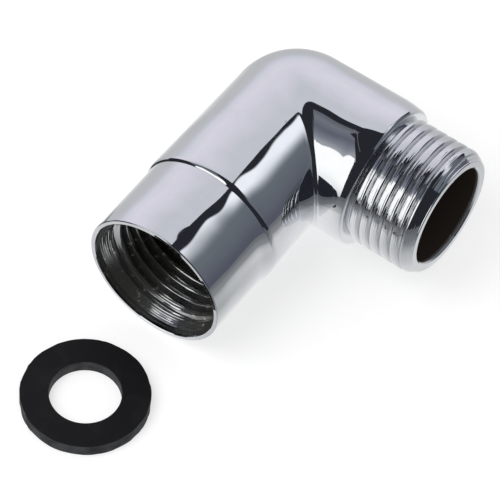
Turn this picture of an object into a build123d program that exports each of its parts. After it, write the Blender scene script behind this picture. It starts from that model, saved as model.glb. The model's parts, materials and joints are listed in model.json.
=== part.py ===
from build123d import *
import math
import os

os.makedirs("parts", exist_ok=True)

# Shower hose elbow with its washer, in millimetres. The socket's mouth is at the origin and
# opens towards -X, the outlet points towards -Y, and both axes lie level in the plane z = 0.

# G 1/2 pipe thread, in the socket and on the outlet
pitch = 1.814
thread_angle = 55.0  # degrees between the flanks
cut_over = 0.1  # how far the groove's cutter stands proud of the crests

# Socket
socket_major_r = 10.4775
entry_play = 0.3225  # plain entry beyond the thread's major radius
entry_run = 1.3
lead_angle = 45.0  # degrees between the lead-in and the axis
mouth_chamfer = 0.2
socket_thread_run = 10.6  # mouth to the end of the thread
relief_depth = 0.17  # relief groove beyond the thread's major radius
washer_room = 0.15  # relief groove beyond the thickness of the washer that seats in it

# Collar round the socket, turned a little smaller than the leg behind it
collar_wall = 0.7  # round the plain entry
collar_run = 13.9  # mouth to the top of the step
step_drop = 0.36
step_run = 0.5  # slope of the step along the axis
rim_chamfer = 0.15

# Bend and legs: a ball where the axes cross, and two legs that widen a little outwards
leg_run = 22.1  # crossing of the axes to the top of the step
leg_draft = 0.8  # degrees
plain_run = 0.3  # outlet's leg between the inside corner and the crown

# Outlet
outlet_major_r = 10.35
groove_depth = 0.75  # the outlet's crests are wide and flat, so its grooves are shallow
root_flat = 0.15
groove_turn = 58.0  # degrees round the axis, from straight below back to where the groove starts
spigot_run = 11.5  # shoulder's face to the free end
crown_run = 3.5  # stretch where the leg turns in towards the shoulder
crown_drop = 0.3
shoulder_chamfer = 0.6
neck_margin = 0.05  # neck beyond the width of a thread groove
neck_drop = 0.12  # neck below the thread's roots
neck_wall = 1.48  # between the neck and the waterway
end_run = 2.05  # chamfer at the free end
end_drop = 1.05
bore_chamfer = 0.3

# Sealing washer, lying flat in front of the mouth on the surface that the elbow lies on
washer_play = 0.95  # room round it in the relief groove where it seats
washer_hole_r = 5.35
washer_t = 2.05
washer_gap = 6.7  # mouth to the washer's edge

# Full depth in the socket by the pipe thread's rule, and the outlet's groove from its depth and flat
thread_depth = 0.640327 * pitch
flank = math.tan(math.radians(thread_angle / 2))
groove_width = root_flat + 2 * (groove_depth + cut_over) * flank
socket_crest_r = socket_major_r - thread_depth
outlet_root_r = outlet_major_r - groove_depth
neck_r = outlet_root_r - neck_drop
neck_run = groove_width + neck_margin
waterway_r = neck_r - neck_wall

# The inside of the socket sets the collar, and the collar sets the legs and the bend
entry_r = socket_major_r + entry_play
relief_r = socket_major_r + relief_depth
relief_run = washer_t + washer_room
seat_run = socket_thread_run + relief_run  # mouth to the washer's seat
washer_r = relief_r - washer_play
collar_r = entry_r + collar_wall
leg_end_r = collar_r + step_drop
draft = math.radians(leg_draft)
bend_r = leg_end_r * math.cos(draft) - leg_run * math.sin(draft)  # both legs are tangent to it
socket_run = collar_run + leg_run  # mouth to the crossing


def leg_r(run):
    return bend_r / math.cos(draft) + run * math.tan(draft)


# Along the outlet's leg from the crossing: the inside corner, the crown, the shoulder, the end
corner_run = leg_r(0) / (1 - math.tan(draft))
crown_from = corner_run + plain_run
crown_to = crown_from + crown_run
shoulder_run = crown_to + shoulder_chamfer
outlet_run = shoulder_run + spigot_run

rest_z = -leg_end_r  # the widest ring touches the surface below
crossing = Vector(socket_run, 0, 0)
mitre = Plane(origin=crossing, z_dir=(-1, 1, 0))  # its upper side is the socket's


def on_socket(shape):
    """Moves a shape built along +X from the crossing to the socket's leg."""
    return Pos(crossing) * Rot(0, 0, 180) * shape


def on_outlet(shape):
    return Pos(crossing) * Rot(0, 0, -90) * shape


def mitred(socket_leg, outlet_leg):
    """Joins two legs that share a ball at the bend, each cut on the mitre plane."""
    near = split(on_socket(socket_leg), bisect_by=mitre, keep=Keep.TOP)
    far = split(on_outlet(outlet_leg), bisect_by=mitre, keep=Keep.BOTTOM)
    return near + far


def ball_arc(r, tilt):
    """Arc round the back of a ball, from where a leg of this draft leaves it to the axis."""
    start = (-r * math.sin(tilt), r * math.cos(tilt))
    middle = math.radians(135)
    return ThreePointArc(start, (r * math.cos(middle), r * math.sin(middle)), (-r, 0))


def socket_outside():
    back = ball_arc(bend_r, draft)
    side = Polyline(
        back @ 0,
        (leg_run, leg_end_r),
        (leg_run + step_run, collar_r),
        (socket_run - rim_chamfer, collar_r),
        (socket_run, collar_r - rim_chamfer),
        (socket_run, 0),
        back @ 1,
    )
    return revolve(make_face(back + side), Axis.X)


def outlet_outside():
    back = ball_arc(bend_r, draft)
    crown_r = leg_r(crown_from) - crown_drop
    thread_from = shoulder_run + neck_run
    side = Polyline(
        back @ 0,
        (crown_from, leg_r(crown_from)),
        (crown_to, crown_r),
        (shoulder_run, crown_r - shoulder_chamfer),
        (shoulder_run, neck_r),
        (thread_from, neck_r),
        (thread_from, outlet_root_r),
        (thread_from + groove_depth * flank, outlet_major_r),
        (outlet_run - end_run, outlet_major_r),
        (outlet_run, outlet_major_r - end_drop),
        (outlet_run, 0),
        back @ 1,
    )
    return revolve(make_face(back + side), Axis.X)


def waterway():
    """The cored bend, the turned inside of the socket and the outlet's bore."""
    back = ball_arc(waterway_r, 0)
    seat = socket_run - seat_run
    thread_to = socket_run - socket_thread_run
    lead_run = (entry_r - socket_crest_r) / math.tan(math.radians(lead_angle))
    socket_side = Polyline(
        back @ 0,
        (seat, waterway_r),
        (seat, relief_r),
        (thread_to, relief_r),
        (thread_to, socket_crest_r),
        (socket_run - entry_run - lead_run, socket_crest_r),
        (socket_run - entry_run, entry_r),
        (socket_run - mouth_chamfer, entry_r),
        (socket_run, entry_r + mouth_chamfer),
        (socket_run, 0),
        back @ 1,
    )
    outlet_side = Polyline(
        back @ 0,
        (outlet_run - bore_chamfer, waterway_r),
        (outlet_run, waterway_r + bore_chamfer),
        (outlet_run, 0),
        back @ 1,
    )
    socket_core = revolve(make_face(back + socket_side), Axis.X)
    outlet_core = revolve(make_face(back + outlet_side), Axis.X)
    return mitred(socket_core, outlet_core)


def thread_groove(base_r, root_r, start, run):
    """Helical groove about the X axis, one turn after another, with flat flanks and a flat floor."""
    base_half = root_flat / 2 + abs(root_r - base_r) * flank
    corners = [
        (root_r, -root_flat / 2),
        (root_r, root_flat / 2),
        (base_r, base_half),
        (base_r, -base_half),
    ]
    turns = math.ceil(run / pitch)
    faces = []
    for turn in range(turns):
        rails = [Pos(0, 0, z + turn * pitch) * Edge.make_helix(pitch, pitch, r) for r, z in corners]
        for rail, following in zip(rails, rails[1:] + rails[:1]):
            faces.append(Face.make_surface_from_curves(rail, following))
    for end in (0, turns * pitch):
        faces.append(Face(Wire.make_polygon([(r, 0, z + end) for r, z in corners])))
    return Pos(start, 0, 0) * Rot(0, 90, 0) * Rot(0, 0, -groove_turn) * Solid(Shell(faces))


def elbow_body():
    hollow = mitred(socket_outside(), outlet_outside()) - waterway()
    groove_start = shoulder_run + neck_run / 2
    groove_run = outlet_run - groove_start + groove_width
    groove = thread_groove(outlet_major_r + cut_over, outlet_root_r, groove_start, groove_run)
    return hollow - on_outlet(groove)


def sealing_washer():
    section = Pos((washer_r + washer_hole_r) / 2, 0) * Rectangle(washer_r - washer_hole_r, washer_t)
    ring = revolve(Plane.XZ * section, Axis.Z)
    return Pos(-washer_gap - washer_r, 0, rest_z + washer_t / 2) * ring


elbow = elbow_body()
washer = sealing_washer()
for name, shape in (("elbow_body", elbow), ("sealing_washer", washer)):
    export_step(shape, f"parts/{name}.step")
    print(name, "volume", round(shape.volume, 1), "solids", len(shape.solids()))
print("outlet", round(outlet_run, 4), "shoulder", round(shoulder_run, 4), "waterway", round(waterway_r, 4))
print("washer", round(washer_r, 4), "seat", round(seat_run, 4), "bend", round(bend_r, 4))
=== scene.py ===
import json
import math

import bmesh
import bpy
from mathutils import Matrix, Vector, noise


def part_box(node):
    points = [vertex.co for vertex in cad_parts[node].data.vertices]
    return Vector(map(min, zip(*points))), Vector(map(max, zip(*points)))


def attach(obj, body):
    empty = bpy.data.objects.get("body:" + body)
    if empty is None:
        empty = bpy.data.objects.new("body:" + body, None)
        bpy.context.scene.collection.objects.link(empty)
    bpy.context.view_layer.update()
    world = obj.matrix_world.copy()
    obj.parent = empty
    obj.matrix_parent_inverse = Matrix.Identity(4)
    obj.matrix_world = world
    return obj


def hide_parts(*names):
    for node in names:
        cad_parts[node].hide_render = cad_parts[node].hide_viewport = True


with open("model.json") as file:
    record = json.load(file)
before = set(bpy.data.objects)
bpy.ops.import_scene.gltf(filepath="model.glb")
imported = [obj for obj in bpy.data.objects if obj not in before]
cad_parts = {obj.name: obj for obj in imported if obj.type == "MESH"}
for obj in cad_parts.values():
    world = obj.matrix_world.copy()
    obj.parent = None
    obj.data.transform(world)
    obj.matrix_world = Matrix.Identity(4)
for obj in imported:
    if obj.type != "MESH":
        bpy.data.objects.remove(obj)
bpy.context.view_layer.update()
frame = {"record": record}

mm = 0.001
mounts = {mount["name"]: mount for mount in frame["record"]["mounts"]}
crossing = Vector((mounts["outlet_face"]["pos_m"][0], 0, 0))  # where the two axes meet
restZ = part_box("elbow_body")[0][2]
scene = bpy.context.scene
scene.view_settings.view_transform = "Standard"

# Camera fitted to the rings of both legs in the 500 x 500 photograph
shot = {
    "frame": 500,
    "focal": 5854.6,  # in pixels of that frame
    "distance": 0.8739,  # metres, to the crossing of the axes
    "azimuth": -57.05,
    "elevation": 53.91,
    "roll": 3.66,
    "crossingAt": (296.98, 125.72),  # pixel of the crossing
}


def placeCamera(s):
    az, el, roll = (math.radians(s[k]) for k in ("azimuth", "elevation", "roll"))
    right = Vector((math.cos(az), math.sin(az), 0))
    back = Vector((math.sin(az) * math.cos(el), -math.cos(az) * math.cos(el), math.sin(el)))
    up = back.cross(right)
    tilted = math.cos(roll) * right + math.sin(roll) * up
    upright = math.cos(roll) * up - math.sin(roll) * right
    perPixel = s["distance"] / s["focal"]
    half = s["frame"] / 2
    aside = (half - s["crossingAt"][0]) * perPixel
    above = (s["crossingAt"][1] - half) * perPixel
    place = crossing + aside * tilted + above * upright + s["distance"] * back
    data = bpy.data.cameras.new("photoCamera")
    data.sensor_width = 36
    data.lens = s["focal"] / s["frame"] * data.sensor_width
    data.clip_start = 0.05
    camera = bpy.data.objects.new("photoCamera", data)
    turn = Matrix((tilted, upright, back)).transposed()
    camera.matrix_world = Matrix.Translation(place) @ turn.to_4x4()
    scene.collection.objects.link(camera)
    scene.camera = camera


placeCamera(shot)
print("camera placed")


def makeObject(name, bm, material):
    mesh = bpy.data.meshes.new(name)
    bm.to_mesh(mesh)
    bm.free()
    mesh.materials.append(material)
    obj = bpy.data.objects.new(name, mesh)
    scene.collection.objects.link(obj)
    return obj


def softCorners(points, steps=6, hold=0.04):
    # points are (run, radius, rounding); a short hold beside each round keeps the shading flat
    path = []
    for i, (run, r, rounding) in enumerate(points):
        here = Vector((run, r))
        if not rounding:
            path.append(here)
            continue
        back = (Vector(points[i - 1][:2]) - here).normalized()
        ahead = (Vector(points[(i + 1) % len(points)][:2]) - here).normalized()
        half = back.angle(ahead) / 2
        reach = rounding / math.tan(half)
        centre = here + (back + ahead).normalized() * (rounding / math.sin(half))
        start = here + back * reach - centre
        end = here + ahead * reach - centre
        turn = math.copysign(math.pi - 2 * half, start.cross(end))
        path.append(here + back * (reach + hold))
        path += [centre + Matrix.Rotation(turn * k / steps, 2) @ start for k in range(steps + 1)]
        path.append(here + ahead * (reach + hold))
    return path


def smoothMin(a, b, blend):
    near = max(blend - abs(a - b), 0) / blend
    return min(a, b) - near * near * blend / 4


# Elbow body, in millimetres along each leg from the crossing
elbow = {
    "turns": 160,  # segments round each axis
    "draft": 0.8,  # degrees; both legs widen a little outwards
    "legRun": 22.1,  # to the top of the step
    "stepFrom": 21.5,  # leg begins to turn in
    "stepTurn": [(21.95, 14), (22.3, 42)],  # run, and degrees turned in by there
    "stepRun": 0.33,
    "stepRound": 0.1,
    "runOut": (-50, 55, 85),  # degrees: the sector's middle, half widths where the step is gone and whole
    "runOutTo": 25.2,
    "collarR": 11.5,
    "collarRings": (23, 0.44, 6),  # first run, spacing and count of the rings that the run-out needs
    "rimRound": 0.16,
    "mouthChamfer": 0.08,
    "mouthRun": 0.35,  # plain wall inside the mouth, before the rings of the thread
    "entryR": 10.8,
    "entryRun": 1.3,
    "leadSlope": 0.47,  # of the long countersink that cuts down the socket's first ridges
    "toolMarks": 0.009,  # height of the turning lines in the socket
    "socketThreadRun": 10.6,
    "reliefR": 10.6475,
    "waterwayR": 8.0,
    "creaseRound": 0.66,  # blend in the inside corner, where the legs stand square
    "creaseFrom": 3.5,  # run over which the blend grows from nothing
    "creaseRings": (0.35, 35),  # spacing and count of the close rings where the legs meet
    "crownFrom": 12.62,  # leg begins to turn in
    "crown": [(15.64, 11)],  # run, and degrees turned in by there
    "spigotRun": 11.5,
    "neckR": 9.48,
    "neckRun": 0.4,
    "grooveFrom": 0.8345,  # shoulder to the middle of the first groove
    "grooveDepth": 0.62,  # the outlet's crests are wide and nearly flat
    "grooveFloor": 0.06,
    "crestCrown": 0.04,
    "crestHalf": 0.45,
    "threadSoft": (0.12, 0.22, 0.16, 0.1),  # blends at the roots, the crests, the first turn, the end
    "grooveShade": 0.3,  # painted shade at the outlet's thread roots: how far they take the socket's darker colour
    "chatter": 0.01,  # height of the lines that the die leaves along the outlet's thread
    "endRun": 2.05,
    "endDrop": 1.05,
    "endCurve": 1.7,  # power of the run; the end is a little rounded over
    "endRound": 0.1,
    "boreChamfer": 0.3,
    "borePlating": (0.15, 0.5),  # run of whole plating inside the outlet, and of its fading
    "socketShadeAndPlating": (2.6, 5),  # and the same inside the mouth, where the darker colour is partly thinner plating and partly painted shade
    "pitch": 1.814,
    "flankAngle": 27.5,
    "depthShare": 0.640327,  # depth of a full thread, in pitches
    "roundShare": 0.137329,  # rounding of its crests and roots
    "blankR": 10,  # the rings that carry a thread stand here until it moves them
    "neckLap": 0.2,  # they begin this far before the outlet's thread
    "endLap": 0.12,  # and stop this far before its end
    "threadStep": 0.056,  # spacing of the rings that carry a thread
}
e = elbow
draft = math.radians(e["draft"])
pastMitre = math.radians(48)  # the ball runs a little over the mitre, which trims it
legEndR = -restZ / mm
bendR = legEndR * math.cos(draft) - e["legRun"] * math.sin(draft)
socketRun = crossing.x / mm
outletRun = -mounts["outlet_face"]["pos_m"][1] / mm
seatRun = socketRun - mounts["washer_seat"]["pos_m"][0] / mm
shoulderRun = outletRun - e["spigotRun"]
threadFrom = shoulderRun + e["neckRun"]
threadTo = socketRun - e["socketThreadRun"]
threadDepth = e["depthShare"] * e["pitch"]
flankTilt = math.radians(e["flankAngle"])
flank = math.tan(flankTilt)
outletMajorR = mounts["outlet_thread"]["dims"]["r_mm"]
outletRootR = outletMajorR - e["grooveDepth"]
socketCrestR = mounts["socket_thread"]["dims"]["r_mm"]


def legR(run):
    return bendR / math.cos(draft) + run * math.tan(draft)


def ballPoints(r, first, last, steps):
    # arc of a ball at the crossing, by the angle behind the plane square to the leg
    angles = [first + (last - first) * k / steps for k in range(steps + 1)]
    return [Vector((-r * math.sin(a), r * math.cos(a))) for a in angles]


def arcPoints(start, runTo, tiltFrom, tiltTo, steps):
    # arc that leaves a point at one slope and has turned in to another when it reaches runTo
    bend = (runTo - start.x) / (math.sin(tiltTo) - math.sin(tiltFrom))
    tilts = [tiltFrom + (tiltTo - tiltFrom) * k / steps for k in range(steps + 1)]
    return [start + bend * Vector((math.sin(t) - math.sin(tiltFrom), math.cos(t) - math.cos(tiltFrom)))
            for t in tilts]


def rings(start, end):
    count = math.ceil(abs(end - start) / e["threadStep"])
    return [Vector((start + (end - start) * k / count, e["blankR"])) for k in range(count + 1)]


def legRings():
    # close rings where the two legs meet, alike on both so that the mitre's points coincide
    gap, count = e["creaseRings"]
    return [Vector((gap * k, legR(gap * k))) for k in range(1, count + 1)]


def socketPath():
    rimR = e["entryR"] + e["mouthChamfer"]
    edge = [Vector((e["stepFrom"], legR(e["stepFrom"])))]
    tilt = -draft
    for runTo, degrees in e["stepTurn"]:
        edge += arcPoints(edge[-1], runTo, tilt, math.radians(degrees), 8)[1:]
        tilt = math.radians(degrees)
    first, gap, count = e["collarRings"]
    collar = [Vector((first + gap * k, e["collarR"])) for k in range(count)]
    outside = softCorners([
        (*edge[-1], 0),
        (e["legRun"] + e["stepRun"], e["collarR"], e["stepRound"]),
        (*collar[0], 0),
    ])[1:-1] + collar
    outside += softCorners([
        (*collar[-1], 0),
        (socketRun, e["collarR"], e["rimRound"]),
        (socketRun, rimR, 0.03),
        (socketRun - e["mouthChamfer"], e["entryR"], 0.03),
        (socketRun - e["mouthRun"], e["entryR"], 0),
    ], hold=0.02)[1:]
    path = ballPoints(bendR, pastMitre, draft, 24) + legRings() + edge + outside
    path += rings(path[-1].x, threadTo)[1:]
    path += softCorners([
        (threadTo, e["blankR"], 0),
        (threadTo, e["reliefR"], 0),
        (seatRun, e["reliefR"], 0.1),
        (seatRun, e["waterwayR"], 0.15),
        (0, e["waterwayR"], 0),
    ])[1:-1]
    return path + ballPoints(e["waterwayR"], 0, pastMitre, 12)


def outletPath():
    path = ballPoints(bendR, pastMitre, draft, 24) + legRings()
    path.append(Vector((e["crownFrom"], legR(e["crownFrom"]))))
    tilt = -draft
    for runTo, degrees in e["crown"] + [(shoulderRun, 90)]:
        path += arcPoints(path[-1], runTo, tilt, math.radians(degrees), 9)[1:]
        tilt = math.radians(degrees)
    neckTo = threadFrom - e["neckLap"]
    lastRing = outletRun - e["endLap"]
    path += softCorners([
        (shoulderRun, path[-1].y, 0),
        (shoulderRun, e["neckR"], 0.12),
        (neckTo, e["neckR"], 0),
    ])[1:-1]
    path += rings(neckTo, lastRing)
    endR = outletMajorR - e["endDrop"]
    path += softCorners([
        (lastRing, endR + 0.06, 0),
        (outletRun, endR, 0.06),
        (outletRun, e["waterwayR"] + e["boreChamfer"], e["endRound"]),
        (outletRun - e["boreChamfer"], e["waterwayR"], e["endRound"]),
        (outletRun - 0.8, e["waterwayR"], 0),  # the plating has ended by here
        (0, e["waterwayR"], 0),
    ], hold=0.02)[1:-1]
    return path + ballPoints(e["waterwayR"], 0, pastMitre, 12)


def turnLeg(path):
    # spins a path round the leg's axis, which points along -X, and trims it on the mitre
    bm = bmesh.new()
    verts = [bm.verts.new((-p.x, 0, p.y)) for p in path]
    edges = [bm.edges.new(pair) for pair in zip(verts, verts[1:])]
    bmesh.ops.spin(bm, geom=verts + edges, cent=(0, 0, 0), axis=(1, 0, 0), angle=math.tau,
                   steps=e["turns"], use_merge=True)
    bmesh.ops.bisect_plane(bm, geom=bm.verts[:] + bm.edges[:] + bm.faces[:], dist=1e-5,
                           plane_co=(0, 0, 0), plane_no=(1, -1, 0), clear_outer=True)
    mesh = bpy.data.meshes.new("leg")
    bm.to_mesh(mesh)
    bm.free()
    return mesh


def threadHeight(phase):
    # rounded pipe thread: 0 at the root's centre, where phase is 0, and 1 at the crest
    pitch = e["pitch"]
    bend = e["roundShare"] * pitch
    side = abs((phase + 0.5) % 1 - 0.5) * pitch
    arc = bend * math.cos(flankTilt)
    if side < arc:
        h = bend - math.sqrt(bend * bend - side * side)
    elif side > pitch / 2 - arc:
        h = threadDepth - bend + math.sqrt(bend * bend - (pitch / 2 - side) ** 2)
    else:
        h = bend * (1 - math.sin(flankTilt)) + (side - arc) / flank
    return h / threadDepth


def outletThreadR(run, turn):
    phase = (run - shoulderRun - e["grooveFrom"]) / e["pitch"] - turn / math.tau
    side = abs((phase + 0.5) % 1 - 0.5) * e["pitch"]  # from the middle of the nearest groove
    crest = outletMajorR - e["crestCrown"] * ((e["pitch"] / 2 - side) / e["crestHalf"]) ** 2
    wall = outletRootR + (side - e["grooveFloor"] / 2) / flank
    rootSoft, crestSoft, startSoft, endSoft = e["threadSoft"]
    r = smoothMin(crest, -smoothMin(-wall, -outletRootR, rootSoft), crestSoft)
    r = smoothMin(r, outletRootR + (run - threadFrom) / flank, startSoft)
    wander = 0.6 * math.sin(2 * turn + 0.9 * run) + 0.4 * math.sin(9 * turn - 0.6 * run)
    lines = math.sin(math.tau * 5 * phase + wander) + 0.7 * math.sin(math.tau * 8 * phase - 2 * wander)
    comeAndGo = 0.6 + 0.4 * math.sin(13 * turn + 2.9 * run) * math.sin(7 * turn - 1.3 * run)
    over = max((run - outletRun + e["endRun"]) / e["endRun"], 0)
    tip = outletMajorR - e["endDrop"] * over ** e["endCurve"]
    r = smoothMin(r, tip, endSoft) - e["chatter"] * (1 + 0.8 * comeAndGo * lines)
    return max(r, e["neckR"])


def socketThreadR(run, turn):
    phase = (run - socketRun) / e["pitch"] - turn / math.tau
    r = socketCrestR + threadDepth * threadHeight(phase + 0.5)
    lead = e["entryR"] - max(socketRun - e["entryRun"] - run, 0) * e["leadSlope"]
    lines = math.sin(run * 20.3) + 0.7 * math.sin(run * 33.1 + 1) + 0.5 * math.sin(run * 8.7)
    return -smoothMin(-r, -lead, 0.1) + e["toolMarks"] * lines


def threadPoint(axis, zero, co, radius):
    # moves a point to the thread's radius and gives the normal there; zero is where turns start
    run = co.dot(axis)
    side = co - axis * run
    out = side.normalized()
    around = axis.cross(out)
    ahead, aside = 0.005, 0.0005  # small steps along and round the axis, for the slopes
    turn = math.atan2(out.dot(axis.cross(zero)), out.dot(zero))
    r = radius(run, turn)
    slope = (radius(run + ahead, turn) - radius(run - ahead, turn)) / (2 * ahead)
    twist = (radius(run, turn + aside) - radius(run, turn - aside)) / (2 * aside * r)
    return axis * run + out * r, (out - axis * slope - around * twist).normalized()


# Painted highlights in the socket, where its colour is kept bright: a sector below all the way in, and
# one behind by the mouth
paintedHighlights = {
    "below": (1.72, 0.33),  # radians round the axis from the back, and half width
    "fading": 0.03,  # per millimetre of depth
    "behind": (-0.1, 0.45),
    "depths": (2.5, 12),  # where that one has grown in, and where it ends
    "most": 0.95,
}


def paintedHighlightShare(turn, depth):
    at, width = paintedHighlights["below"]
    below = math.exp(-((turn - at) / width) ** 2) * (1 - paintedHighlights["fading"] * depth)
    at, width = paintedHighlights["behind"]
    grown, end = paintedHighlights["depths"]
    behind = math.exp(-((turn - at) / width) ** 2) * max(1 - depth / end, 0) * min(depth / grown, 1)
    return paintedHighlights["most"] * max(below, behind)


def cutThreads(bm, normals, depths):
    # the close rings on the outlet and in the socket get their thread
    outletAxis, socketAxis = Vector((0, -1, 0)), Vector((-1, 0, 0))
    first, last = threadFrom - e["neckLap"], outletRun - e["endLap"]
    mouth = socketRun - e["mouthRun"]
    for i, v in enumerate(bm.verts):
        x, y, z = v.co
        if first - 0.01 < -y < last + 0.01 and abs(math.hypot(x, z) - e["blankR"]) < 0.02:
            v.co, normals[i] = threadPoint(outletAxis, Vector((0, 0, -1)), v.co, outletThreadR)
            sunk = outletMajorR - math.hypot(v.co.x, v.co.z)
            # painted shade: the colour darkens towards the roots of the outlet's thread
            if -y < outletRun - e["endRun"]:
                depths[i] = e["grooveShade"] * min(max(sunk / e["grooveDepth"], 0), 1)
        elif threadTo - 0.01 < -x < mouth - 0.01 and abs(math.hypot(y, z) - e["blankR"]) < 0.02:
            v.co, inward = threadPoint(socketAxis, Vector((0, 1, 0)), v.co, socketThreadR)
            # the socket's threads take the dark colour except in the painted highlight sectors
            depths[i] = 1 - paintedHighlightShare(math.atan2(-z, y), socketRun + x)
            if threadTo + 0.01 < -x:
                normals[i] = -inward


def legField(co, away):
    # distance outside a leg that points along away, and the direction in which it grows
    run = co.dot(away)
    side = co - away * run
    grows = side.normalized() * math.cos(draft) - away * math.sin(draft)
    return (side.length - legR(run)) * math.cos(draft), grows


def roundCrease(bm, normals):
    # lifts the legs into each other, so that the inside corner is soft, and turns the normals with it
    moved = 0
    for i, v in enumerate(bm.verts):
        if max(v.co.x, v.co.y) > 0 or not normals[i].length:
            continue
        grow = min(-(v.co.x + v.co.y) / 2 / e["creaseFrom"], 1)
        reach = max(e["creaseRound"] * grow * grow * (3 - 2 * grow), 0.001)
        spot = v.co.copy()
        for _ in range(4):
            fields = (legField(spot, Vector(away)) for away in ((-1, 0, 0), (0, -1, 0)))
            (first, up), (second, aside) = fields
            share = max(reach - abs(first - second), 0) / reach / 2
            if first > second:
                up, aside = aside, up
            slope = up * (1 - share) + aside * share
            spot -= slope * smoothMin(first, second, reach) / slope.length_squared
        if share:
            v.co, normals[i] = spot, slope.normalized()
            moved += 1
    return moved


def runOutStep(bm):
    # the collar is turned a little off the leg's axis, so the step dies out beside the outlet
    start, end = e["stepFrom"], e["runOutTo"]
    middle, none, whole = e["runOut"]
    for v in bm.verts:
        run, r = -v.co.x, math.hypot(v.co.y, v.co.z)
        if not start + 0.01 < run < end - 0.01 or r < e["collarR"] - 0.01:
            continue
        above = math.degrees(math.atan2(v.co.z, -v.co.y))  # the outlet's side is 0, the top is 90
        left = min(max((abs(above - middle) - none) / (whole - none), 0), 1)
        keep = left * left * (3 - 2 * left)
        part = (run - start) / (end - start)
        plain = legR(start) + (e["collarR"] - legR(start)) * part * part * (3 - 2 * part)
        v.co.yz *= (r * keep + plain * (1 - keep)) / r


def legNormal(co):
    # true normal on the ball and on both legs, or none where the mesh has its own
    x, y, z = co
    if abs(co.length - bendR) < 0.002 and x > -0.17 and y > -0.17:
        return co.normalized()
    for run, side in ((-x, Vector((0, y, z))), (-y, Vector((x, 0, z)))):
        if run > -0.2 and abs(side.length - legR(run)) < 0.002:
            away = Vector((-1, 0, 0)) if side.x == 0 else Vector((0, -1, 0))
            return (side.normalized() * math.cos(draft) - away * math.sin(draft)).normalized()
    return Vector((0, 0, 0))


def buildElbow(chrome):
    bm = bmesh.new()
    bm.from_mesh(turnLeg(socketPath()))
    half = len(bm.verts)
    bm.from_mesh(turnLeg(outletPath()))
    bm.verts.ensure_lookup_table()
    swap = Matrix(((0, 1, 0), (1, 0, 0), (0, 0, 1)))  # the outlet mirrors the socket in the mitre
    bmesh.ops.transform(bm, matrix=swap.to_4x4(), verts=bm.verts[half:])
    bmesh.ops.remove_doubles(bm, verts=bm.verts, dist=0.003)
    bmesh.ops.recalc_face_normals(bm, faces=bm.faces)
    normals = [legNormal(v.co) for v in bm.verts]
    creased = roundCrease(bm, normals)
    runOutStep(bm)
    depths = [thinningAndShade(v.co) for v in bm.verts]
    bare = [waterwayFace(v.co) for v in bm.verts]
    turned = [1.0 if depth or -v.co.y > shoulderRun else 0.0 for v, depth in zip(bm.verts, depths)]
    cutThreads(bm, normals, depths)
    bmesh.ops.transform(bm, verts=bm.verts,
                        matrix=Matrix.Translation(crossing) @ Matrix.Scale(mm, 4))
    for face in bm.faces:
        face.smooth = True
    openEdges = sum(1 for edge in bm.edges if not edge.is_manifold)
    piece = makeObject("elbowBody", bm, chrome)
    mesh = piece.data
    mesh.normals_split_custom_set_from_vertices(normals)
    for name, values in (("thinningAndShade", depths), ("bare", bare), ("turned", turned)):
        mesh.attributes.new(name, "FLOAT", "POINT").data.foreach_set("value", values)
    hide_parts("elbow_body")
    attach(piece, "root")
    mesh.calc_loop_triangles()
    print("elbow: triangles", len(mesh.loop_triangles), "crease points", creased, "open edges", openEdges)


def thinningAndShade(co):
    # how far the plating has thinned and the painted shade has grown, from either opening inwards
    if math.hypot(co.y, co.z) < e["entryR"] + 0.05 and -co.x > e["waterwayR"] + 0.1:
        whole, fading = e["socketShadeAndPlating"]
        return min(max((socketRun + co.x - whole) / fading, 0), 1)
    return waterwayFace(co)


def waterwayFace(co):
    # 1 on the unplated waterway, fading out over the edge of the outlet's bore
    x, y, z = co
    if math.hypot(x, z) < e["waterwayR"] + 0.4 and -y > 0:
        whole, fading = e["borePlating"]
        return min(max((outletRun + y - whole) / fading, 0), 1)
    inWay = math.hypot(y, z) < e["waterwayR"] + 0.2 and -x > 0 or co.length < e["waterwayR"] + 0.2
    return 1.0 if inWay else 0.0


# Sealing washer, lying flat beside the socket
washer = {
    "turns": 144,
    "edgeRound": 0.14,
    "holeR": 5.35,
    "uneven": 0.3,  # how far the trimmed edge wanders inwards
    "trimScale": (0.45, 0.9),  # of the wandering, round the edge and up it
    "trimDetail": (2.7, 0.35),  # finer wandering: scale and share
}


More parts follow.
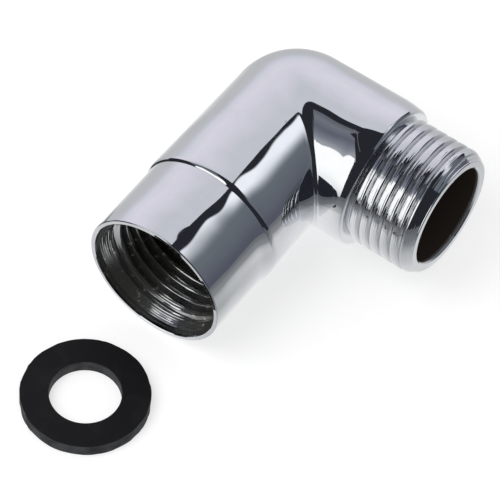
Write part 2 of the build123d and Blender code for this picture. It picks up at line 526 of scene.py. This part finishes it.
def buildWasher(rubber):
    low, high = (Vector(c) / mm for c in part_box("sealing_washer"))
    outer = (high.x - low.x) / 2
    middle = (outer + washer["holeR"]) / 2
    edge = washer["edgeRound"]
    path = softCorners([
        (low.z, middle, 0), (low.z, outer, edge), (high.z, outer, edge), (high.z, middle, 0),
        (high.z, washer["holeR"], edge), (low.z, washer["holeR"], edge),
    ], steps=5)
    bm = bmesh.new()
    verts = [bm.verts.new((p.y, 0, p.x)) for p in path]
    edges = [bm.edges.new(pair) for pair in zip(verts, verts[1:] + verts[:1])]
    bmesh.ops.spin(bm, geom=verts + edges, cent=(0, 0, 0), axis=(0, 0, 1), angle=math.tau,
                   steps=washer["turns"], use_merge=True)
    bmesh.ops.remove_doubles(bm, verts=bm.verts, dist=0.001)
    bmesh.ops.recalc_face_normals(bm, faces=bm.faces)
    flat, tall = washer["trimScale"]
    finer, share = washer["trimDetail"]
    wear = []
    for v in bm.verts:
        r = math.hypot(v.co.x, v.co.y)
        wear.append(min(max((r - outer + edge) / edge, (washer["holeR"] + edge - r) / edge, 0), 1))
        if r > middle:
            place = Vector((v.co.x * flat, v.co.y * flat, v.co.z * tall))
            trim = max(noise.noise(place), 0) + share * max(noise.noise(place * finer), 0)
            v.co.xy *= 1 - washer["uneven"] * trim * wear[-1] / r
    centre = Vector(((low.x + high.x) / 2, (low.y + high.y) / 2, 0)) * mm
    bmesh.ops.transform(bm, verts=bm.verts,
                        matrix=Matrix.Translation(centre) @ Matrix.Scale(mm, 4))
    for face in bm.faces:
        face.smooth = True
    piece = makeObject("sealingWasher", bm, rubber)
    mesh = piece.data
    mesh.attributes.new("edgeWear", "FLOAT", "POINT").data.foreach_set("value", wear)
    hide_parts("sealing_washer")
    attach(piece, "root")
    print("washer: faces", len(mesh.polygons))


def addNode(tree, kind, inputs=None, **settings):
    made = tree.nodes.new(kind)
    for name, value in settings.items():
        setattr(made, name, value)
    for name, value in (inputs or {}).items():
        if isinstance(value, bpy.types.NodeSocket):
            tree.links.new(value, made.inputs[name])
        else:
            made.inputs[name].default_value = value
    return made


def calc(tree, operation, *values):
    made = addNode(tree, "ShaderNodeMath", dict(enumerate(values)), operation=operation)
    return made.outputs[0]


def blend(tree, factor, first, second):
    # mixes two numbers or two colours, each a value or a socket
    colours = any(isinstance(v, tuple) or getattr(v, "type", "") == "RGBA" for v in (first, second))
    a, b, result = (6, 7, 2) if colours else (2, 3, 0)
    mix = addNode(tree, "ShaderNodeMix", data_type="RGBA" if colours else "FLOAT")
    for index, value in ((0, factor), (a, first), (b, second)):
        if isinstance(value, bpy.types.NodeSocket):
            tree.links.new(value, mix.inputs[index])
        else:
            mix.inputs[index].default_value = value
    return mix.outputs[result]


def newMaterial(name):
    material = bpy.data.materials.new(name)
    material.use_nodes = True
    material.node_tree.nodes.clear()
    return material, material.node_tree


# Marks that handling and polishing leave, shared by both finishes
def handlingMarks():
    group = bpy.data.node_groups.new("handlingMarks", "ShaderNodeTree")
    face = group.interface
    for name, kind in (("Vector", "Vector"), ("Wave Scale", "Float"), ("Grain Scale", "Float")):
        face.new_socket(name, in_out="INPUT", socket_type="NodeSocket" + kind)
    for name in ("Waves", "Haze", "Grain", "Specks"):
        face.new_socket(name, in_out="OUTPUT", socket_type="NodeSocketFloat")
    start = addNode(group, "NodeGroupInput")
    waves = addNode(group, "ShaderNodeTexNoise", {
        "Vector": start.outputs["Vector"], "Scale": start.outputs["Wave Scale"], "Detail": 1.0})
    grain = addNode(group, "ShaderNodeTexNoise", {
        "Vector": start.outputs["Vector"], "Scale": start.outputs["Grain Scale"], "Detail": 4.0,
        "Roughness": 0.6})
    patches = addNode(group, "ShaderNodeTexNoise", {
        "Vector": start.outputs["Vector"], "Scale": 260.0, "Detail": 5.0, "Distortion": 0.6})
    haze = addNode(group, "ShaderNodeMapRange", {
        "Value": patches.outputs["Fac"], "From Min": 0.45, "From Max": 0.75})
    cells = addNode(group, "ShaderNodeTexVoronoi", {"Vector": start.outputs["Vector"], "Scale": 420.0})
    dots = addNode(group, "ShaderNodeMapRange", {
        "Value": cells.outputs["Distance"], "From Min": 0.055, "From Max": 0.025})
    few = addNode(group, "ShaderNodeSeparateColor", {"Color": cells.outputs["Color"]})
    kept = calc(group, "GREATER_THAN", few.outputs["Red"], 0.82)
    addNode(group, "NodeGroupOutput", {
        "Waves": waves.outputs["Fac"], "Haze": haze.outputs["Result"], "Grain": grain.outputs["Fac"],
        "Specks": calc(group, "MULTIPLY", dots.outputs["Result"], kept)})
    return group


chromePlate = {
    "colour": (0.80, 0.82, 0.85, 1),
    "hazed": (0.76, 0.78, 0.81, 1),
    "thinnedAndShaded": (0.185, 0.187, 0.172, 1),  # down in the socket: partly thinner plating, partly painted shade
    "paintedGlint": (0.95, 0.92, 0.84, 1),  # painted glints on the socket's ridges
    "bare": (0.038, 0.029, 0.025, 1),  # tarnished waterway
    "roughness": (0.03, 0.06),
    "socketRoughness": 0.14,
    "bareRoughness": 0.45,
    "socketMetal": 0.86,  # a dull film lies on it
    "bareMetal": 0.0,
    "paintedGlintGrain": (0.61, 0.67),  # grain from which a painted glint shows, and is whole
    "waveScale": 75,
    "grainScale": 900,
    "waveDepth": 0.0007,
    "speckDepth": 0.00003,
    "latheDepth": 0.000024,
    "latheScale": (260.0, 2400.0),  # round the axis and along it
}


def latheMarks(tree, place):
    # fine turning lines across each axis: the outlet's is Y, the socket's is X
    around, along = chromePlate["latheScale"]
    split = addNode(tree, "ShaderNodeSeparateXYZ", {"Vector": place})
    onOutlet = calc(tree, "LESS_THAN", split.outputs["Y"], -shoulderRun * mm + 0.0005)
    lines = []
    for scale in ((along, around, around), (around, along, around)):
        spread = addNode(tree, "ShaderNodeMapping", {"Vector": place, "Scale": scale})
        lines.append(addNode(tree, "ShaderNodeTexNoise", {
            "Vector": spread.outputs["Vector"], "Scale": 1.0, "Detail": 3.0}).outputs["Fac"])
    return blend(tree, onOutlet, lines[0], lines[1])


def chromeMaterial(marks):
    c = chromePlate
    material, tree = newMaterial("chromePlate")
    place = addNode(tree, "ShaderNodeTexCoord").outputs["Object"]
    mark = addNode(tree, "ShaderNodeGroup", {
        "Vector": place, "Wave Scale": c["waveScale"], "Grain Scale": c["grainScale"]}, node_tree=marks)
    depth, bare, turned = (addNode(tree, "ShaderNodeAttribute", attribute_name=name).outputs["Fac"]
                           for name in ("thinningAndShade", "bare", "turned"))
    colour = blend(tree, mark.outputs["Haze"], c["colour"], c["hazed"])
    # darker deeper in the socket, partly thinner plating and partly painted shade, and painted shade in
    # the outlet's thread roots
    colour = blend(tree, depth, colour, c["thinnedAndShaded"])
    # painted glints: bright warm spots on the grain, deeper in the socket
    paintedGlintGrain = addNode(tree, "ShaderNodeMapRange", {
        "Value": mark.outputs["Grain"], "From Min": c["paintedGlintGrain"][0], "From Max": c["paintedGlintGrain"][1]})
    colour = blend(tree, calc(tree, "MULTIPLY", paintedGlintGrain.outputs["Result"], depth), colour, c["paintedGlint"])
    colour = blend(tree, bare, colour, c["bare"])
    polish = addNode(tree, "ShaderNodeMapRange", {
        "Value": mark.outputs["Haze"], "To Min": c["roughness"][0], "To Max": c["roughness"][1]})
    rough = blend(tree, depth, polish.outputs["Result"], c["socketRoughness"])
    rough = blend(tree, bare, rough, c["bareRoughness"])
    metal = blend(tree, bare, blend(tree, depth, 1.0, c["socketMetal"]), c["bareMetal"])
    # polishing waves, then sparse pits, then turning lines on the threads only
    waves = addNode(tree, "ShaderNodeBump", {
        "Height": mark.outputs["Waves"], "Strength": 1.0, "Distance": c["waveDepth"]})
    pits = addNode(tree, "ShaderNodeBump", {
        "Height": mark.outputs["Specks"], "Strength": 1.0, "Distance": c["speckDepth"],
        "Normal": waves.outputs["Normal"]})
    lines = addNode(tree, "ShaderNodeBump", {
        "Height": calc(tree, "MULTIPLY", latheMarks(tree, place), turned), "Strength": 1.0,
        "Distance": c["latheDepth"], "Normal": pits.outputs["Normal"]})
    shader = addNode(tree, "ShaderNodeBsdfPrincipled", {
        "Base Color": colour, "Metallic": metal, "Roughness": rough,
        "Specular IOR Level": 0.0, "Normal": lines.outputs["Normal"]})
    addNode(tree, "ShaderNodeOutputMaterial", {"Surface": shader.outputs["BSDF"]})
    return material


blackRubber = {
    "colour": (0.0072, 0.0072, 0.0085, 1),
    "dusty": (0.0115, 0.0115, 0.013, 1),
    "scuffed": (0.075, 0.077, 0.082, 1),  # cut sides
    "roughness": (0.5, 0.68),
    "waveScale": 500,
    "grainScale": 3800,
    "grainDepth": 0.00003,
}


def rubberMaterial(marks):
    b = blackRubber
    material, tree = newMaterial("blackRubber")
    place = addNode(tree, "ShaderNodeTexCoord").outputs["Object"]
    mark = addNode(tree, "ShaderNodeGroup", {
        "Vector": place, "Wave Scale": b["waveScale"], "Grain Scale": b["grainScale"]}, node_tree=marks)
    skin = blend(tree, mark.outputs["Haze"], b["colour"], b["dusty"])
    wear = addNode(tree, "ShaderNodeAttribute", attribute_name="edgeWear").outputs["Fac"]
    rubbed = addNode(tree, "ShaderNodeMapRange", {
        "Value": mark.outputs["Waves"], "From Min": 0.3, "From Max": 0.65, "To Min": 0.35})
    worn = calc(tree, "MAXIMUM", calc(tree, "MULTIPLY", wear, rubbed.outputs["Result"]),
                calc(tree, "MULTIPLY", mark.outputs["Specks"], 0.6))
    matt = addNode(tree, "ShaderNodeMapRange", {
        "Value": mark.outputs["Grain"], "From Min": 0.3, "From Max": 0.7,
        "To Min": b["roughness"][0], "To Max": b["roughness"][1]})
    bump = addNode(tree, "ShaderNodeBump", {
        "Height": mark.outputs["Grain"], "Strength": 0.5, "Distance": b["grainDepth"]})
    shader = addNode(tree, "ShaderNodeBsdfPrincipled", {
        "Base Color": blend(tree, worn, skin, b["scuffed"]), "Roughness": matt.outputs["Result"],
        "Specular IOR Level": 0.2, "Normal": bump.outputs["Normal"]})
    addNode(tree, "ShaderNodeOutputMaterial", {"Surface": shader.outputs["BSDF"]})
    return material


marks = handlingMarks()
buildElbow(chromeMaterial(marks))
buildWasher(rubberMaterial(marks))

# Studio: a pale floor, a soft key lamp, and the walls of a light tent that only the gloss sees
studio = {
    "middle": (0.026, -0.006, 0.0),
    "floorR": 1.2,
    "floorGap": 0.00002,  # below the elbow
    "tableGap": 0.00001,
    "roomR": 2.5,
    "floorColour": (0.5, 0.5, 0.5, 1),
    "floorLift": 0.6,  # brings the pale paper up to white where it is seen
    "skyStrength": 0.62,
    "keyPower": 1.5,
    "keyAt": (-0.25, 0.15, 0.5),
    "keySize": 0.4,
    "dark": (0.022, 0.024, 0.03),
}
# walls: the way each faces from the middle, its distance, its span (left, right, low, high) or its
# corners on that plane, the width of its soft edges, and its tones from end to end, all in metres
walls = {
    "backWall": {
        "facing": (68, 28), "away": 0.34, "span": (-0.55, 0.13, -0.27, 0.3),
        "tones": [(-0.19, (0.62, 0.63, 0.68)), (-0.1, (0.76, 0.75, 0.82)), (-0.01, (0.82, 0.79, 0.86)),
                  (0.09, (0.78, 0.75, 0.83)), (0.2, (0.65, 0.66, 0.7))]},
    "rightWall": {
        "facing": (130, 25), "away": 0.31, "span": (-0.16, 0.24, -0.19, 0.2),
        "tones": [(-0.11, (0.10, 0.11, 0.14)), (-0.03, (0.13, 0.14, 0.17)), (0.06, (0.15, 0.17, 0.19))]},
    "rightBox": {
        "facing": (130, 25), "away": 0.3, "span": (-0.13, 0.09, 0.06, 0.2),
        "edges": (0.02, 0.12, 0.08, 0.015),
        "tones": [(0.06, (1.04, 1.06, 1.1))]},
    "ceiling": {
        "facing": (-25, 64), "away": 0.33, "along": "X",
        "corners": [(-0.17, -0.2), (0.076, -0.2), (0.076, 0.085), (0.031, 0.0555), (-0.058, 0.0575),
                    (-0.124, 0.0615), (-0.17, 0.063)],
        "tones": [(-0.115, (0.38, 0.39, 0.42)), (-0.085, (0.24, 0.26, 0.3)), (-0.055, (0.18, 0.19, 0.23)),
                  (-0.025, (0.13, 0.14, 0.18)), (0.034, (0.19, 0.2, 0.23)), (0.07, (0.13, 0.14, 0.16))]},
    "seam": {
        "facing": (-25, 64), "away": 0.33,
        "corners": [(0.08, 0.078), (0.038, 0.075), (-0.031, 0.083), (-0.093, 0.096), (-0.093, 0.092),
                    (-0.031, 0.079), (0.038, 0.071), (0.08, 0.074)],
        "tones": [(0, (0.17, 0.175, 0.18))]},
    "leftBox": {
        "facing": (-66, 29), "away": 0.3,
        "corners": [(0.12, 0.1), (0.021, 0.108), (0.007, 0.163), (-0.036, 0.219), (-0.065, 0.171),
                    (-0.077, 0.129), (-0.102, 0.03), (-0.117, -0.07), (-0.13, -0.207), (-0.111, -0.241),
                    (-0.059, -0.189), (-0.03, -0.125), (0.12, -0.125)],
        "tones": [(-0.2, (0.55, 0.56, 0.56)), (-0.11, (1.0, 1.01, 1.0)), (-0.04, (1.2, 1.2, 1.17)),
                  (0.1, (1.25, 1.24, 1.2))]},
}


def glossOnly(obj):
    obj.visible_camera = False
    obj.visible_diffuse = False
    obj.visible_transmission = False
    obj.visible_volume_scatter = False
    obj.visible_shadow = False


def toneRamp(tree, value, stops):
    # stops are (place, colour), with the place in the value's own units
    first, last = stops[0][0], stops[-1][0]
    last = last if last > first else first + 1
    spread = addNode(tree, "ShaderNodeMapRange", {"Value": value, "From Min": first, "From Max": last})
    ramp = addNode(tree, "ShaderNodeValToRGB", {"Fac": spread.outputs["Result"]})
    points = ramp.color_ramp.elements
    while len(points) > max(len(stops), 1):
        points.remove(points[-1])
    while len(points) < len(stops):
        points.new(1.0)
    for point, (at, colour) in zip(points, stops):
        point.position = (at - first) / (last - first)
        point.color = (*colour, 1)
    return ramp.outputs["Color"]


def wallMaterial(name, wall):
    material, tree = newMaterial(name)
    place = addNode(tree, "ShaderNodeTexCoord")
    split = addNode(tree, "ShaderNodeSeparateXYZ", {"Vector": place.outputs["Object"]})
    colour = toneRamp(tree, split.outputs[wall.get("along", "Y")], wall["tones"])
    glow = addNode(tree, "ShaderNodeEmission", {"Color": colour})
    mask = 1.0
    if "edges" in wall:
        left, right, low, high = wall["span"]
        sides = (("X", left, 1), ("X", right, -1), ("Y", low, 1), ("Y", high, -1))
        for (axis, at, inward), width in zip(sides, wall["edges"]):
            fade = addNode(tree, "ShaderNodeMapRange", {
                "Value": split.outputs[axis], "From Min": at, "From Max": at + inward * width},
                interpolation_type="SMOOTHSTEP")
            mask = calc(tree, "MULTIPLY", fade.outputs["Result"], mask)
    clear = addNode(tree, "ShaderNodeBsdfTransparent")
    mix = addNode(tree, "ShaderNodeMixShader", {0: mask, 1: clear.outputs[0], 2: glow.outputs[0]})
    addNode(tree, "ShaderNodeOutputMaterial", {"Surface": mix.outputs["Shader"]})
    return material


def buildWall(name, wall):
    az, el = (math.radians(a) for a in wall["facing"])
    away = Vector((math.sin(az) * math.cos(el), math.cos(az) * math.cos(el), math.sin(el)))
    across = Vector((math.cos(az), -math.sin(az), 0))
    turn = Matrix((across, across.cross(away), -away)).transposed()
    corners = wall.get("corners")
    if not corners:
        left, right, low, high = wall["span"]
        corners = [(left, low), (right, low), (right, high), (left, high)]
    bm = bmesh.new()
    bm.faces.new([bm.verts.new((u, w, 0)) for u, w in corners])
    obj = makeObject(name, bm, wallMaterial(name, wall))
    centre = Vector(studio["middle"]) + away * wall["away"]
    obj.matrix_world = Matrix.Translation(centre) @ turn.to_4x4()
    glossOnly(obj)


# Glowing sheet that only the gloss sees, standing in for the table top: its tones paint light and shade
# on it by the distance in plan from the elbow's two axes
paintedTableGlow = {
    "behind": [(0.012, (0.93, 0.93, 0.93)), (0.022, (0.92, 0.92, 0.92)), (0.03, (0.66, 0.66, 0.66)),
               (0.044, (0.57, 0.57, 0.58)), (0.28, (0.6, 0.61, 0.63))],
    "before": [(0.01, (0.72, 0.72, 0.72)), (0.014, (0.61, 0.61, 0.62)), (0.02, (0.53, 0.54, 0.54)),
               (0.035, (0.28, 0.29, 0.3)), (0.054, (0.26, 0.27, 0.28)), (0.134, (0.18, 0.19, 0.2))],
    "front": (-0.35, -0.94),  # the way to the front in plan
    "seam": (-0.005, 0.02),  # metres that way over which the one turns into the other
    "paintedMouthShade": 0.76,  # painted shade: share of that left in front of the socket's mouth
    "mouthSeam": (0.0, -0.004),
    "paintedDarkCorner": 0.06,  # painted dark patch behind the mouth: share of the tone left there
    "cornerFrom": ((0.021, 0.018), (0.03, 0.034)),  # its soft edges along X and along Y
}


def roundSheet(name, gap, material):
    bm = bmesh.new()
    bmesh.ops.create_circle(bm, cap_ends=True, segments=96, radius=studio["floorR"])
    bmesh.ops.translate(bm, verts=bm.verts, vec=(0, 0, restZ - gap))
    return makeObject(name, bm, material)


def softStep(tree, value, limits, **settings):
    made = addNode(tree, "ShaderNodeMapRange", {
        "Value": value, "From Min": limits[0], "From Max": limits[1]}, **settings)
    return made.outputs["Result"]


def planDistance(tree, along, across):
    squares = (calc(tree, "MULTIPLY", value, value) for value in (along, across))
    return calc(tree, "SQRT", calc(tree, "ADD", *squares))


def buildTable():
    material, tree = newMaterial("paintedTableGlow")
    place = addNode(tree, "ShaderNodeTexCoord")
    split = addNode(tree, "ShaderNodeSeparateXYZ", {"Vector": place.outputs["Object"]})
    x, y = split.outputs["X"], split.outputs["Y"]
    # plan distances to the socket's axis and to the outlet's
    pastEnd = calc(tree, "SUBTRACT", x, crossing.x)
    before = calc(tree, "MULTIPLY", x, -1.0)
    alongSocket = calc(tree, "MAXIMUM", calc(tree, "MAXIMUM", pastEnd, before), 0.0)
    toSocket = planDistance(tree, alongSocket, y)
    beyond = calc(tree, "SUBTRACT", calc(tree, "MULTIPLY", y, -1.0), outletRun * mm)
    alongOutlet = calc(tree, "MAXIMUM", calc(tree, "MAXIMUM", beyond, y), 0.0)
    toOutlet = planDistance(tree, alongOutlet, pastEnd)
    apart = calc(tree, "MINIMUM", toSocket, toOutlet)
    ahead = (calc(tree, "MULTIPLY", value, share) for value, share in zip((x, y), paintedTableGlow["front"]))
    frontness = calc(tree, "ADD", *ahead)
    side = softStep(tree, frontness, paintedTableGlow["seam"], interpolation_type="SMOOTHSTEP")
    # tones by distance: a painted pool of light near the elbow, darker further off and in front
    tone = blend(tree, side, toneRamp(tree, apart, paintedTableGlow["behind"]),
                 toneRamp(tree, apart, paintedTableGlow["before"]))
    # painted shade in front of the socket's mouth, and a painted dark patch behind it
    shaded = blend(tree, softStep(tree, x, paintedTableGlow["mouthSeam"]), 1.0, paintedTableGlow["paintedMouthShade"])
    acrossX, acrossY = paintedTableGlow["cornerFrom"]
    corner = calc(tree, "MULTIPLY", softStep(tree, y, acrossY), softStep(tree, x, acrossX))
    strength = blend(tree, corner, shaded, paintedTableGlow["paintedDarkCorner"])
    glow = addNode(tree, "ShaderNodeEmission", {"Color": tone, "Strength": strength})
    addNode(tree, "ShaderNodeOutputMaterial", {"Surface": glow.outputs["Emission"]})
    glossOnly(roundSheet("paintedTableGlow", studio["tableGap"], material))


def buildRoom():
    # dark room round the tent
    bm = bmesh.new()
    bmesh.ops.create_uvsphere(bm, u_segments=48, v_segments=24, radius=studio["roomR"])
    material, tree = newMaterial("darkRoom")
    glow = addNode(tree, "ShaderNodeEmission", {"Color": (*studio["dark"], 1)})
    addNode(tree, "ShaderNodeOutputMaterial", {"Surface": glow.outputs["Emission"]})
    glossOnly(makeObject("darkRoom", bm, material))


def seenDirectly(tree):
    # 1 for rays that show the background: from the camera, in gloss and through glass
    path = addNode(tree, "ShaderNodeLightPath")
    first = calc(tree, "MAXIMUM", path.outputs["Is Camera Ray"], path.outputs["Is Glossy Ray"])
    return calc(tree, "MAXIMUM", first, path.outputs["Is Transmission Ray"])


def buildFloor():
    material, tree = newMaterial("floorPaper")
    lift = calc(tree, "MULTIPLY", seenDirectly(tree), studio["floorLift"])
    shader = addNode(tree, "ShaderNodeBsdfPrincipled", {
        "Base Color": studio["floorColour"], "Roughness": 0.9, "Specular IOR Level": 0.0,
        "Emission Color": (1, 1, 1, 1), "Emission Strength": lift})
    addNode(tree, "ShaderNodeOutputMaterial", {"Surface": shader.outputs["BSDF"]})
    floor = roundSheet("floor", studio["floorGap"], material)


def buildLight():
    world = bpy.data.worlds.new("studio")
    scene.world = world
    world.use_nodes = True
    tree = world.node_tree
    tree.nodes.clear()
    soft, plain = (addNode(tree, "ShaderNodeBackground", {"Color": (1, 1, 1, 1), "Strength": strength})
                   for strength in (studio["skyStrength"], 1.0))
    mix = addNode(tree, "ShaderNodeMixShader", {
        0: seenDirectly(tree), 1: soft.outputs[0], 2: plain.outputs[0]})
    addNode(tree, "ShaderNodeOutputWorld", {"Surface": mix.outputs[0]})
    data = bpy.data.lights.new("keyLamp", "AREA")
    data.energy = studio["keyPower"]
    data.size = studio["keySize"]
    lamp = bpy.data.objects.new("keyLamp", data)
    lamp.location = studio["keyAt"]
    lamp.rotation_euler = (Vector(studio["keyAt"]) - crossing).to_track_quat("Z", "Y").to_euler()
    lamp.visible_glossy = False  # the tent's walls make the reflections
    scene.collection.objects.link(lamp)


buildFloor()
buildTable()
buildRoom()
for name, wall in walls.items():
    buildWall(name, wall)
buildLight()
print("studio built")
